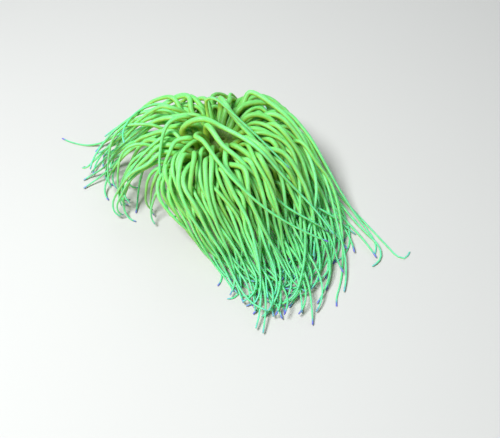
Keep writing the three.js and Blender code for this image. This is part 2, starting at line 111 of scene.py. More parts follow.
# distance from the axis, how many, root diameter, extra rise, share of the guide's length, wander
ROWS = [
    (29.5, 44, 3.2, 0, 0.9, 1.0),
    (25.5, 38, 3.5, 5, 0.98, 1.1),
    (21.0, 30, 3.9, 9, 1.06, 1.1),
    (16.0, 21, 4.4, 0, 1.0, 1.3),
    (11.0, 13, 4.5, 0, 1.0, 1.3),
    (27.4, 27, 2.9, 4, 0.96, 1.8),
    (23.2, 27, 3.1, 7, 1.02, 1.9),
    (13.4, 13, 3.4, 0, 0.96, 1.4),
]
BAND_SPLIT = 18.7  # between the outer and the inner band of the crown
BACK = (66, 118)  # headings of the short ones that hang behind
BACK_DEPTH = 22.0  # the short ones grow farther from the axis than this
FAN = (119, 206)  # headings of the fan on the left, which has fewer and thicker ones
FAN_FAT = 1.2
FINE_ROWS = (5, 6, 7)  # left out in the fan
print("places for tentacles:", sum(row[1] for row in ROWS))

# %% Guides: how tentacles run at each heading (degrees and millimetres)
# heading, first rise, length of the bend, trail heading, fall, drift, hook, length
OUTER_GUIDES = np.array([
    (15, 2, 34, -43, 40, -78, -40, 146),
    (45, 2, 32, -42, 35, -72, -40, 148),
    (65, 6, 32, -42, 31, -60, -40, 148),
    (68, -10, 20, 60, 55, 20, -20, 78),
    (100, -12, 20, 100, 60, -10, -20, 70),
    (116, -10, 20, 125, 55, 0, -20, 80),
    (119, -2, 48, 174, 34, 10, 40, 104),
    (150, 0, 47, 178, 44, 14, 60, 94),
    (178, 0, 47, 180, 54, 30, 110, 86),
    (198, 2, 44, 186, 64, 56, 130, 76),
    (206, 0, 38, 196, 70, 60, 110, 70),
    (209, 26, 40, 314, 46, 16, -20, 120),
    (240, 8, 34, 307, 46, 8, -30, 122),
    (270, -10, 28, 301, 47, -10, -50, 115),
    (300, -20, 28, 302, 49, -28, -60, 117),
    (325, -18, 30, 309, 50, -54, -60, 126),
    (350, -8, 32, 313, 46, -74, -60, 138),
], float)
INNER_GUIDES = np.array([
    (0, 14, 34, -45, 42, -64, -40, 142),
    (30, 20, 34, -42, 37, -58, -30, 150),
    (60, 6, 32, -40, 32, -50, -20, 156),
    (90, 7, 32, -40, 30, -38, -20, 158),
    (106, 9, 32, -40, 30, -30, -20, 160),
    (109, 4, 50, 172, 34, 14, 30, 122),
    (150, 18, 52, 182, 44, 24, 50, 112),
    (180, 24, 48, 200, 52, 44, 80, 98),
    (198, 36, 44, 292, 46, 18, -20, 130),
    (225, 32, 42, 297, 44, 10, -20, 130),
    (270, 22, 40, 299, 44, -5, -20, 118),
    (300, 14, 38, 301, 46, -20, -20, 117),
    (330, 12, 36, 306, 46, -44, -30, 128),
], float)
TRAIL = 3  # the column of the trail heading
SUDDEN = 3  # degrees; between two guides as close as this the course changes at once
print("guides:", len(OUTER_GUIDES), "outer and", len(INNER_GUIDES), "inner")

# %% Tentacles that stand out, each with a course of its own
# row, place, diameter, rise, lean, hold, bend, trail, fall, drift, hook, hook from, length
SINGLES = {
    "left_reaching": (2, 11, 4.1, 19, 0, 5, 64, 186, 46, -14, -30, 0.8, 146),
    "left_hooked": (2, 12, 4.2, 56, 0, 6, 42, 186, 38, 16, -150, 0.87, 122),
    "left_curled": (1, 15, 3.7, 28, 0, 5, 50, 182, 26, 60, 20, 0.85, 100),
    "left_short": (1, 13, 3.4, 24, 0, 5, 40, 186, 6, 75, 30, 0.8, 82),
    "left_arched": (3, 9, 4.5, 66, 0, 8, 36, 226, 48, 76, 20, 0.85, 88),
    "left_looped": (3, 11, 4.5, 56, 0, 7, 30, 240, 44, 50, 220, 0.86, 84),
    "left_hanging": (0, 22, 3.1, 22, 0, 12, 46, 204, 66, 80, 20, 0.85, 88),
    "left_trailing": (0, 20, 3.1, 26, 0, 12, 56, 198, 58, 80, 20, 0.85, 98),
    "right_farthest": (1, 6, 3.9, 13, 0, 5, 46, -50, 30, -10, 150, 0.93, 203),
    "right_turned": (3, 3, 4.4, 42, 0, 6, 42, -47, 31, -6, -110, 0.86, 192),
    "right_long": (2, 3, 3.8, 34, 0, 5, 40, -46, 32, -12, -60, 0.88, 160),
    "right_behind": (2, 8, 3.9, 12, 0, 5, 32, -42, 31, -46, -20, 0.85, 150),
    "curtain_inner": (1, 1, 3.4, 18, 0, 5, 38, -43, 32, -64, 0, 0.9, 160),
    "curtain_outer": (0, 0, 3.3, 10, 0, 6, 40, -43, 34, -78, 30, 0.92, 160),
    "thin_crossing": (4, 5, 2.8, 88, 40, 26, 22, -32, 34, 0, 0, 0.85, 110),
    "top_arched": (3, 5, 5, 84, 0, 16, 18, -50, 38, 24, 0, 0.85, 165),
    "disc_crossing": (3, 10, 4.9, 74, -10, 10, 24, -18, 26, -34, 0, 0.85, 150),
    "front_crossing": (4, 8, 4.2, 70, -40, 12, 34, 296, 22, 50, 0, 0.85, 150),
    "front_edge": (0, 27, 3.2, 22, 0, 5, 34, 320, 50, 4, -30, 0.8, 112),
    "front_thin": (7, 8, 3.3, 32, 0, 5, 42, 306, 46, 22, -20, 0.8, 122),
    "front_thick": (4, 7, 5, 76, 0, 8, 22, 314, 32, 34, 0, 0.85, 136),
}
COURSE_KEYS = "rise lean hold bend trail fall drift hook hook_from long".split()
print("with a course of their own:", len(SINGLES))

# %% Helpers for even variety and soft steps
STRIDES = (0.6180339887, 0.7548776662, 0.569840291, 0.8191725134, 0.3247179572)  # never repeat


def spread(index, kind):
    """Evenly mixed numbers from -1 to 1, the same each time"""
    return ((0.5 + (index + 1) * STRIDES[kind]) % 1) * 2 - 1


def smooth(t):
    """A soft step from 0 to 1"""
    t = np.clip(t, 0, 1)
    return t * t * (3 - 2 * t)


def crown_height(rho):
    """How high the crown is at a distance from the axis"""
    t = np.clip((rho - ORAL_RADIUS) / (CROWN_RADIUS - ORAL_RADIUS), 0, 1)
    return CROWN_TOP - CROWN_DROP * t * t


def guide_at(table, heading):
    """The guide for a heading, mixed from its two neighbours in the table"""
    later = np.flatnonzero(table[:, 0] > heading)
    after = later[0] if len(later) else 0
    low, high = table[after - 1], table[after]
    width = (high[0] - low[0]) % 360
    t = ((heading - low[0]) % 360) / width
    if width <= SUDDEN:
        t = math.floor(t + 0.5)
    guide = low + (high - low) * t
    guide[TRAIL] = low[TRAIL] + ((high[TRAIL] - low[TRAIL] + 540) % 360 - 180) * t  # the short way
    return guide


# %% How much tentacles differ from their guides
# the most, in degrees, or as a share: of a place, a bend or a length
STRAY = dict(
    place=0.2, lean=8, rise=8, bend=0.25, trail=9, fall=8, drift=20, hook=65, hook_from=0.06, long=0.13,
)
HOLD = 5  # a tentacle runs straight this far before it bends
HOOK_FROM = 0.76  # share of its length after which it hooks
WAVE = 12  # degrees
OWN_WAVE = 3  # for those with a course of their own


# %% The list of tentacles, row by row
def plan():
    """Every tentacle as a dictionary of the numbers that make its course"""
    strands = []
    index = 0
    for row, (start, count, fat, lift, stretch, wander) in enumerate(ROWS):
        for place in range(count):
            index += 1
            at = ((place + 0.5 * (row % 2) + STRAY["place"] * spread(index, 0)) * 360 / count) % 360
            behind = BACK[0] < at < BACK[1]
            outer = start > BAND_SPLIT and not (behind and start < BACK_DEPTH)
            in_fan = outer and FAN[0] < at < FAN[1]
            if in_fan and row in FINE_ROWS:
                continue
            guides = OUTER_GUIDES if outer else INNER_GUIDES
            _, rise, bend, trail, fall, drift, hook, long = guide_at(guides, at)
            lifted = outer and not behind
            _, aside, over, up, more = (spread(index, kind) for kind in range(len(STRIDES)))
            strand = dict(
                name="", index=index, at=at, start=start, hold=HOLD, wave=WAVE, phase=aside,
                root=fat / 2 * (FAN_FAT if in_fan else 1),
                lean=-STRAY["lean"] * wander * over,
                rise=rise + (lift if lifted else 0) + STRAY["rise"] * up,
                bend=bend * (1 + STRAY["bend"] * more),
                trail=trail + STRAY["trail"] * wander * aside,
                fall=fall + STRAY["fall"] * over,
                drift=drift + STRAY["drift"] * wander * over,
                hook=hook + STRAY["hook"] * up,
                hook_from=HOOK_FROM - STRAY["hook_from"] * aside,
                long=long * (stretch if lifted else 1) * (1 + STRAY["long"] * more),
            )
            for name, (own_row, own_place, own_fat, *course) in SINGLES.items():
                if (own_row, own_place) == (row, place):
                    strand.update(zip(COURSE_KEYS, course), name=name, root=own_fat / 2, wave=OWN_WAVE)
            strands.append(strand)
    return strands


strands = plan()
print("tentacles:", len(strands))

# %% [markdown]
# ## The run of a tentacle
#
# A tentacle hangs under its own weight and lies down where it meets the floor. A curve with a few
# handles could draw that, but handles don't know where the floor is. So the middle line is walked
# in 32 steps: at each one its direction turns a little from the way it left the crown to the way
# it trails, drifts sideways and hooks at the end, and near the floor it levels out. All tentacles
# take their steps together, as arrays, which is quick.

# %% Middle lines
TIP_RADIUS = 0.6
TAPER = 1.4
ROOT_DEPTH = 2.0  # the middle line starts this far inside the crown
LANDING = 14.0  # height from which a falling tentacle levels out
TOUCH = 0.12  # share of its fall that it keeps at the floor
FLOOR_REST = 0.85  # height of a lying tentacle's middle, in its own radii
DRIFT_FROM = 0.5  # share of its bend after which it drifts
HOOK_CURVE = 1.3
WAVES = 1.6
STEPS = 32
SAME_ANGLE = 1e-6


def girth(root, u):
    """The radius at a share u of the length"""
    return TIP_RADIUS + (root - TIP_RADIUS) * (1 - u) ** TAPER


def direction(heading, rise):
    """Unit vectors from degrees"""
    heading, rise = np.radians(heading), np.radians(rise)
    flat = np.cos(rise)
    return np.stack([np.cos(heading) * flat, np.sin(heading) * flat, np.sin(rise)], -1)


def swing(first, last, t):
    """Turns directions towards others along the great circle between them"""
    angle = np.arccos(np.clip((first * last).sum(-1), -1, 1))
    sine = np.maximum(np.sin(angle), SAME_ANGLE)
    near, far = np.sin((1 - t) * angle) / sine, np.sin(t * angle) / sine
    return first * near[:, None] + last * far[:, None]


def courses(strands):
    """The middle lines of all tentacles, step by step"""
    get = {k: np.array([s[k] for s in strands], float) for k in strands[0] if k != "name"}
    long, hold = get["long"], get["hold"]
    point = direction(get["at"], 0 * long) * get["start"][:, None]
    point[:, 2] = crown_height(get["start"]) - ROOT_DEPTH
    launch = direction(get["at"] + get["lean"], get["rise"])
    trail = direction(get["trail"], -get["fall"])
    bent = hold + DRIFT_FROM * get["bend"]
    lines = [point]
    for step in range(STEPS):
        u = (step + 0.5) / STEPS
        way = swing(launch, trail, smooth((u * long - hold) / get["bend"]))
        past = np.maximum(0, (u * long - bent) / np.maximum(1, long - bent))
        tip = np.maximum(0, (u - get["hook_from"]) / (1 - get["hook_from"]))
        sway = get["wave"] * np.sin(2 * np.pi * (WAVES * u + get["phase"])) * u
        turn = np.radians(get["drift"] * past + get["hook"] * tip ** HOOK_CURVE + sway)
        c, s = np.cos(turn), np.sin(turn)
        way = np.stack([way[:, 0] * c - way[:, 1] * s, way[:, 0] * s + way[:, 1] * c, way[:, 2]], -1)
        rest = girth(get["root"], u) * FLOOR_REST
        level = np.clip((point[:, 2] - rest) / LANDING + TOUCH, 0, 1)
        way[:, 2] *= np.where(way[:, 2] < 0, level, 1)
        way /= np.linalg.norm(way, axis=1)[:, None]
        point = point + way * (long / STEPS)[:, None]
        point[:, 2] = np.maximum(point[:, 2], rest)
        lines.append(point)
    return np.stack(lines, 1)


lines = courses(strands)
print("middle lines:", lines.shape)

# %% [markdown]
# ## Settling
#
# Real tentacles can't pass through each other. A soft-body simulation could keep them apart, but
# it is slow for two hundred, and a small change of it moves everything. Here every two lengths
# that come too close push each other apart, a little in each round, until nearly all lie clear. It
# is done twice: on a few knots of each tentacle, which finds the same rest as the solids have, and
# then finely, for the skin.

# %% How lengths meet and part
ROOT_STIFF = 0.2  # share of a tentacle that moves less, from its root
REACH = 4.0  # how far apart two lengths may be and still be watched
GIVE = 0.45  # share of each overlap that a round takes away
NEARLY_PARALLEL = 1e-9
TOUCHING = 1e-3
FOOT_TOP = 12.0
NECK = 22.0  # height from which the column widens towards the crown
OVERHANG = 3.0  # of the crown past the column
NEAR_AXIS = 1.0  # closer to the axis than this, the column pushes nothing out


def column_radius(z):
    """The radius of the column at a height"""
    foot = smooth(1 - z / FOOT_TOP) * (FOOT_RADIUS - WAIST_RADIUS)
    head = smooth((z - NECK) / (COLUMN_TOP - NECK)) * (CROWN_RADIUS - WAIST_RADIUS - OVERHANG)
    return WAIST_RADIUS + foot + head


def close_pairs(points, radii, owner, starts):
    """Pairs of lengths of different tentacles that are near enough to touch soon"""
    ends = points[starts + 1]
    middle = ((points[starts] + ends) / 2).astype(np.float32)
    reach = np.linalg.norm(ends - points[starts], axis=1) / 2 + radii[starts] + REACH / 2
    order = np.argsort(middle[:, 0])
    middle, reach, starts = middle[order], reach[order].astype(np.float32), starts[order]
    found = []
    widest = reach.max()
    for n in range(len(starts)):
        far = np.searchsorted(middle[:, 0], middle[n, 0] + reach[n] + widest)
        apart = middle[n + 1:far] - middle[n]
        near = (apart ** 2).sum(1) < (reach[n + 1:far] + reach[n]) ** 2
        others = starts[n + 1:far][near]
        others = others[owner[others] != owner[starts[n]]]
        found.append(np.stack([np.full(len(others), starts[n]), others], 1))
    return np.concatenate(found).T


def push(points, radii, a, b, spacing):
    """The moves that part each pair of lengths a and b where they are nearest"""
    along, other = points[a + 1] - points[a], points[b + 1] - points[b]
    between = points[a] - points[b]
    aa, bb, ab = (along ** 2).sum(1), (other ** 2).sum(1), (along * other).sum(1)
    to_a, to_b = (along * between).sum(1), (other * between).sum(1)
    wide = np.maximum(aa * bb - ab * ab, NEARLY_PARALLEL)
    first = np.clip((ab * to_b - to_a * bb) / wide, 0, 1)
    on_b = np.clip((ab * first + to_b) / bb, 0, 1)
    on_a = np.clip((ab * on_b - to_a) / aa, 0, 1)
    apart = between + along * on_a[:, None] - other * on_b[:, None]
    wanted = radii[a] * (1 - on_a) + radii[a + 1] * on_a + spacing
    wanted = wanted + radii[b] * (1 - on_b) + radii[b + 1] * on_b
    distance = np.linalg.norm(apart, axis=1)
    over = np.maximum(wanted - distance, 0) * GIVE / np.maximum(distance, TOUCHING)
    apart *= over[:, None]
    moves = np.zeros_like(points)
    for ends, share in ((a, 1 - on_a), (a + 1, on_a), (b, on_b - 1), (b + 1, -on_b)):
        for axis in range(3):
            moves[:, axis] += np.bincount(ends, apart[:, axis] * share, len(points))
    return moves


# %% Let the tentacles settle
def settle(runs, rounds, every, spacing, even):
    """Moves lengths apart. runs is [(points, radii, shares)]; a move is evened out even times."""
    points, radii, shares = (np.concatenate(part) for part in zip(*runs))
    counts = [len(run[1]) for run in runs]
    owner = np.repeat(np.arange(len(runs)), counts)
    last = np.cumsum(counts) - 1
    here = np.arange(len(points))
    starts = np.setdiff1d(here, last)
    before = np.where(np.isin(here - 1, last) | (here == 0), here, here - 1)
    after = np.where(np.isin(here, last), here, here + 1)
    loose = smooth(shares / ROOT_STIFF)[:, None]
    for turn in range(rounds):
        if turn % every == 0:
            a, b = close_pairs(points, radii, owner, starts)
        moves = push(points, radii, a, b, spacing)
        for _ in range(even):
            moves = moves / 2 + moves[before] / 4 + moves[after] / 4
        points = points + moves * loose
        points[:, 2] = np.maximum(points[:, 2], radii * FLOOR_REST)
        clear = column_radius(points[:, 2]) + radii + spacing
        out = np.hypot(points[:, 0], points[:, 1])
        low = (shares >= ROOT_STIFF) & (points[:, 2] <= COLUMN_TOP)
        hits = low & (out < clear) & (out >= NEAR_AXIS)
        points[hits, :2] *= (clear / np.maximum(out, NEAR_AXIS))[hits, None]
    return np.split(points, last[:-1] + 1)


# %% Settle on the knots of the solids
KNOTS = (0, 3, 7, 11, 16, 21, 27, 32)
LONG_KNOTS = (0, 3, 6, 9, 12, 16, 20, 24, 27, 30, 32)
PARTED = ("left_reaching", "left_hooked", "left_arched", "left_looped", "right_farthest", "right_turned",
          "right_long", "curtain_outer", "top_arched", "disc_crossing", "front_crossing", "front_thick")

knots = [np.array(LONG_KNOTS if s["name"] in PARTED else KNOTS) for s in strands]
coarse = [
    (line[k], girth(s["root"], k / STEPS), k / STEPS) for s, line, k in zip(strands, lines, knots)
]
settled = settle(coarse, rounds=60, every=6, spacing=0.75, even=1)
print("moved by up to", max(np.abs(p - c[0]).max() for p, c in zip(settled, coarse)).round(1), "mm")


# %% Bring the fine lines to that rest, and settle them finely
def curve_through(at, values, where):
    """Values along a smooth curve through some points (cubic pieces with even slopes)"""
    slope = np.gradient(values, at, axis=0)
    n = np.clip(np.searchsorted(at, where, side="right") - 1, 0, len(at) - 2)
    wide = (at[n + 1] - at[n])[:, None]
    t = ((where - at[n]) / (at[n + 1] - at[n]))[:, None]
    held = values[n] * (2 * t ** 3 - 3 * t ** 2 + 1) + values[n + 1] * (3 * t ** 2 - 2 * t ** 3)
    return held + wide * (slope[n] * (t ** 3 - 2 * t ** 2 + t) + slope[n + 1] * (t ** 3 - t ** 2))


shares = np.arange(STEPS + 1) / STEPS
fine = []
for strand, line, k, rest in zip(strands, lines, knots, settled):
    moved = line + curve_through(k / STEPS, rest - line[k], shares)
    radius = girth(strand["root"], shares)
    moved[:, 2] = np.maximum(moved[:, 2], radius * FLOOR_REST)
    fine.append((moved, radius, shares))
smooth_lines = settle(fine, rounds=24, every=8, spacing=0.1, even=8)
print("fine lines:", len(smooth_lines))

# %% [markdown]
# ## Tubes from lines
#
# A tentacle is a soft tapering tube with a round end. A curve with a bevel would do for one, but
# here two hundred have to know their colours as well. Each middle line becomes a chain of points
# that know their thickness and their share of the way to the tip. Geometry Nodes then sweeps a
# circle along every chain and passes those numbers on to the surface.

# %% Points for the tubes, close together at the root and the tip
ROOT_SHARES = (0, 0.006, 0.013, 0.022, 0.034, 0.05, 0.07)
RUN_SHARES = np.linspace(0.095, 0.985, 44)
FLARE = 0.22  # how much wider a root is where it leaves the crown
FLARE_LENGTH = 2.6
ROUND_TIP = ((0.45, 0.8), (0.8, 0.35))  # distance past the end and share of the tip's radius
SWELL = 0.025  # share by which a tentacle swells and narrows along its length
SWELL_RUN = 5.0  # the swellings follow each other every 2 pi times this
SWELL_SHIFT = 6.0  # how differently the tentacles swell
SWELL_RISE = 4.0  # the swellings are full after a fourth of the length
TONE_STRIDE = 2  # which stride mixes the tones of the tentacles


def strand_points(strand, line):
    """One tentacle's points, thickness and share of its length"""
    where = np.concatenate([ROOT_SHARES, RUN_SHARES, [1.0]])
    points = curve_through(shares, line, where)
    length = where * strand["long"]
    surface = np.maximum(length - ROOT_DEPTH, 0)
    thick = girth(strand["root"], where) * (1 + FLARE * np.exp(-((surface / FLARE_LENGTH) ** 2)))
    swell = SWELL * np.sin(length / SWELL_RUN + SWELL_SHIFT * strand["phase"])
    thick = thick * (1 + swell * smooth(where * SWELL_RISE))
    end = points[-1] - points[-2]
    end /= np.linalg.norm(end)
    for past, share in ROUND_TIP:
        points = np.vstack([points, points[-1] + end * TIP_RADIUS * past])
        thick = np.append(thick, TIP_RADIUS * share)
        where = np.append(where, 1.0)
    return points, thick, where


def chain_object(name, group):
    """A mesh of point chains, one for each (strand, line)"""
    made = [strand_points(strand, line) for strand, line in group]
    points = np.concatenate([m[0] for m in made]) * MM
    counts = [len(m[0]) for m in made]
    last = np.cumsum(counts) - 1
    starts = np.setdiff1d(np.arange(len(points)), last)
    mesh = bpy.data.meshes.new(name)
    mesh.from_pydata(points.tolist(), np.stack([starts, starts + 1], 1).tolist(), [])
    tones = [spread(strand["index"], TONE_STRIDE) for strand, _ in group]
    values = {
        "thick": np.concatenate([m[1] for m in made]) * MM,
        "along": np.concatenate([m[2] for m in made]),
        "tone": np.repeat(tones, counts),
        "strand": np.repeat(np.arange(len(group)), counts),
    }
    for key, value in values.items():
        mesh.attributes.new(key, "FLOAT", "POINT").data.foreach_set("value", value.astype(np.float32))
    thing = bpy.data.objects.new(name, mesh)
    bpy.context.scene.collection.objects.link(thing)
    return thing


# %% The tree that makes tubes
def link(tree, *ends):
    """Links sockets two by two"""
    for first, last in zip(ends[::2], ends[1::2]):
        tree.links.new(first, last)


def attribute_node(tree, name):
    node = tree.nodes.new("GeometryNodeInputNamedAttribute")
    node.data_type = "FLOAT"
    node.inputs["Name"].default_value = name
    return node.outputs["Attribute"]


def tube_tree():
    """A round tube along every chain of points, as thick as the points say"""
    tree = bpy.data.node_groups.new("tentacle tubes", "GeometryNodeTree")
    for name, kind in (("Chains", "NodeSocketGeometry"), ("Sides", "NodeSocketInt"),
                       ("Detail", "NodeSocketInt"), ("Flesh", "NodeSocketMaterial")):
        tree.interface.new_socket(name, in_out="INPUT", socket_type=kind)
    tree.interface.new_socket("Tubes", in_out="OUTPUT", socket_type="NodeSocketGeometry")
    given = tree.nodes.new("NodeGroupInput")
    result = tree.nodes.new("NodeGroupOutput")
    curves = tree.nodes.new("GeometryNodeMeshToCurve")
    kind = tree.nodes.new("GeometryNodeCurveSplineType")
    kind.spline_type = "CATMULL_ROM"
    detail = tree.nodes.new("GeometryNodeSetSplineResolution")
    circle = tree.nodes.new("GeometryNodeCurvePrimitiveCircle")
    circle.inputs["Radius"].default_value = 1
    around = tree.nodes.new("GeometryNodeStoreNamedAttribute")
    around.domain = "POINT"
    around.inputs["Name"].default_value = "around"
    parameter = tree.nodes.new("GeometryNodeSplineParameter")
    sweep = tree.nodes.new("GeometryNodeCurveToMesh")
    sweep.inputs["Fill Caps"].default_value = True
    soft = tree.nodes.new("GeometryNodeSetShadeSmooth")
    real = tree.nodes.new("GeometryNodeRealizeInstances")
    flesh = tree.nodes.new("GeometryNodeSetMaterial")
    link(
        tree,
        given.outputs["Chains"], curves.inputs["Mesh"],
        curves.outputs["Curve"], kind.inputs["Curve"],
        kind.outputs["Curve"], detail.inputs["Geometry"],
        given.outputs["Detail"], detail.inputs["Resolution"],
        detail.outputs["Geometry"], sweep.inputs["Curve"],
        attribute_node(tree, "thick"), sweep.inputs["Scale"],
        given.outputs["Sides"], circle.inputs["Resolution"],
        circle.outputs["Curve"], around.inputs["Geometry"],
        parameter.outputs["Factor"], around.inputs["Value"],
        around.outputs["Geometry"], sweep.inputs["Profile Curve"],
        sweep.outputs["Mesh"], soft.inputs["Geometry"],
        soft.outputs["Geometry"], real.inputs["Geometry"],
        real.outputs["Geometry"], flesh.inputs["Geometry"],
        given.outputs["Flesh"], flesh.inputs["Material"],
        flesh.outputs["Geometry"], result.inputs["Tubes"],
    )
    return tree


def by_nodes(thing, tree, name, **values):
    """Runs a tree on an object and returns its result as a plain mesh object"""
    modifier = thing.modifiers.new(name, "NODES")
    modifier.node_group = tree
    for item in tree.interface.items_tree:
        if item.in_out == "INPUT" and item.name in values:
            modifier[item.identifier] = values[item.name]
    bpy.context.view_layer.update()
    depsgraph = bpy.context.evaluated_depsgraph_get()
    mesh = bpy.data.meshes.new_from_object(thing.evaluated_get(depsgraph), depsgraph=depsgraph)
    mesh.name = name
    made = bpy.data.objects.new(name, mesh)
    bpy.context.scene.collection.objects.link(made)
    bpy.data.objects.remove(thing)
    return made


# %% [markdown]
# ## The flesh
#
# Living flesh lets light in, and here it goes from olive at the root through a glowing yellow
# green to pale mint, and most tentacles end in a violet tip. A painted texture would need a map
# without seams. Instead the colour follows the share of the way along the tentacle, which every
# point of the mesh knows. Three effects are shared by all flesh, so each is a node group: cloudy
# patches, painted light on the upper side with painted shade underneath, and the fine grain that
# breaks up the sheen.

# %% Colours
def colour(text):
    """A web colour as the linear values that Blender uses"""
    parts = [int(text[n:n + 2], 16) / 255 for n in (0, 2, 4)]
    return tuple(p / 12.92 if p < 0.04045 else ((p + 0.055) / 1.055) ** 2.4 for p in parts) + (1,)


# share of the way from root to tip, and colour
TENTACLE_COLOURS = (
    (0, "94a84e"), (0.06, "b6cc6c"), (0.18, "d0ec90"), (0.4, "c8eea0"), (0.7, "b2e4a6"), (1, "aaecc0"),
)
WARM_SHADE = "d6e08a"
WARMEST = 0.35  # how far the warm shade goes in the warmest tentacle
TIP_COLOUR = "a97ce0"
TIP_FROM, TIP_FULL = 0.968, 0.99
PALEST_TIP = 0.3
TIP_TONES = (-0.7, 0.1)  # the palest tips up to the first tone, full violet from the second
print("flesh colours along a tentacle:", len(TENTACLE_COLOURS))


# %% Helpers for shader nodes
def feed(tree, socket, value):
    """Links a socket's value, or sets a plain one"""
    if isinstance(value, bpy.types.NodeSocket):
        tree.links.new(value, socket)
    else:
        socket.default_value = value


def mix(tree, blend, factor, first, second):
    """A mix of two colours; each argument is a socket or a value"""
    node = tree.nodes.new("ShaderNodeMix")
    node.data_type = "RGBA"
    node.blend_type = blend
    for name, value in (("Factor", factor), ("A", first), ("B", second)):
        feed(tree, node.inputs[name], value)
    return node.outputs["Result"]


def calculate(tree, operation, *values):
    """A number worked out from sockets or values"""
    node = tree.nodes.new("ShaderNodeMath")
    node.operation = operation
    for socket, value in zip(node.inputs, values):
        feed(tree, socket, value)
    return node.outputs["Value"]


def ranged(tree, value, low, high, first=0.0, last=1.0, kind="LINEAR"):
    """A value stretched from low..high to first..last"""
    node = tree.nodes.new("ShaderNodeMapRange")
    node.interpolation_type = kind
    for name, end in (("From Min", low), ("From Max", high), ("To Min", first), ("To Max", last)):
        node.inputs[name].default_value = end
    tree.links.new(value, node.inputs["Value"])
    return node.outputs["Result"]


def object_noise(tree, scale, detail):
    """Noise that sits on the object, from 0 to 1"""
    place = tree.nodes.new("ShaderNodeTexCoord")
    noise = tree.nodes.new("ShaderNodeTexNoise")
    noise.inputs["Detail"].default_value = detail
    link(tree, place.outputs["Object"], noise.inputs["Vector"], scale, noise.inputs["Scale"])
    return noise.outputs["Fac"]


def new_group(name, inputs, outputs):
    """A shader node group, with the sockets that its inside takes from and gives to"""
    group = bpy.data.node_groups.new(name, "ShaderNodeTree")
    for label, kind, value in inputs:
        socket = group.interface.new_socket(label, in_out="INPUT", socket_type="NodeSocket" + kind)
        socket.default_value = value
    for label, kind in outputs:
        group.interface.new_socket(label, in_out="OUTPUT", socket_type="NodeSocket" + kind)
    return group, group.nodes.new("NodeGroupInput").outputs, group.nodes.new("NodeGroupOutput").inputs


# %% Shared effects: clouds, grain, painted light above and painted shade below
WHITE = (1, 1, 1, 1)
CLOUD_SHADE = (0.6, 0.66, 0.5, 1)
CLOUD_EDGES = (0.35, 0.65)  # the noise between these makes the edge of a patch
ROUGH_SWING = 0.12
# the flesh gets full painted shade where it faces up less than the first, full painted light above the
# second
PAINTED_SHADE_FACING, PAINTED_LIGHT_FACING = -0.2, 0.95  # how much the flesh faces up, from -1 to 1


def cloudy_group():
    """Mixes a darker shade into a colour in soft patches"""
    group, given, result = new_group(
        "cloudy flesh",
        [("Color", "Color", WHITE), ("Scale", "Float", 200.0), ("Amount", "Float", 0.2)],
        [("Color", "Color")],
    )
    patches = ranged(group, object_noise(group, given["Scale"], detail=3), *CLOUD_EDGES)
    amount = calculate(group, "MULTIPLY", patches, given["Amount"])
    link(group, mix(group, "MULTIPLY", amount, given["Color"], CLOUD_SHADE), result["Color"])
    return group


def grain_group():
    """Fine pimples for the bump, and the roughness that goes with them"""
    group, given, result = new_group(
        "fine grain",
        [("Scale", "Float", 2500.0), ("Rough", "Float", 0.45)],
        [("Height", "Float"), ("Roughness", "Float")],
    )
    height = object_noise(group, given["Scale"], detail=2)
    uneven = ranged(group, height, 0, 1, -ROUGH_SWING, ROUGH_SWING)
    rough = calculate(group, "ADD", uneven, given["Rough"])
    link(group, height, result["Height"], rough, result["Roughness"])
    return group


def painted_light_group():
    """Painted light: a tint on the upper side of the flesh; painted shade: a warmer, deeper tint below"""
    group, given, result = new_group(
        "painted light and shade",
        [("Color", "Color", WHITE), ("Painted Light", "Color", WHITE), ("Painted Shade", "Color", WHITE)],
        [("Color", "Color")],
    )
    surface = group.nodes.new("ShaderNodeNewGeometry")
    parts = group.nodes.new("ShaderNodeSeparateXYZ")
    up = ranged(group, parts.outputs["Z"], PAINTED_SHADE_FACING, PAINTED_LIGHT_FACING, kind="SMOOTHSTEP")
    light_and_shade_tint = mix(group, "MIX", up, given["Painted Shade"], given["Painted Light"])
    lit_and_shaded = mix(group, "MULTIPLY", 1.0, given["Color"], light_and_shade_tint)
    link(group, surface.outputs["Normal"], parts.inputs["Vector"], lit_and_shaded, result["Color"])
    return group


CLOUDY = cloudy_group()
PAINTED_LIGHT = painted_light_group()
GRAIN = grain_group()
print("shared effects:", [group.name for group in (CLOUDY, PAINTED_LIGHT, GRAIN)])


# %% A colour ramp, and numbers that points know
def ramp(tree, stops, value):
    """The colour of a value between coloured stops"""
    node = tree.nodes.new("ShaderNodeValToRGB")
    elements = node.color_ramp.elements
    while len(elements) < len(stops):
        elements.new(0.5)
    for element, (at, text) in zip(elements, stops):
        element.position = at
        element.color = colour(text)
    tree.links.new(value, node.inputs["Fac"])
    return node.outputs["Color"]


def shader_attribute(tree, name):
    node = tree.nodes.new("ShaderNodeAttribute")
    node.attribute_name = name
    return node.outputs["Fac"]


# %% One way to finish any flesh
GLOW = 0.65  # share of the light that goes in under the surface
GLOW_REACH = (0.45, 1.0, 0.4)  # green light comes out farthest from where it went in
SHINE = 0.35
PIMPLE = 0.2  # height of the grain


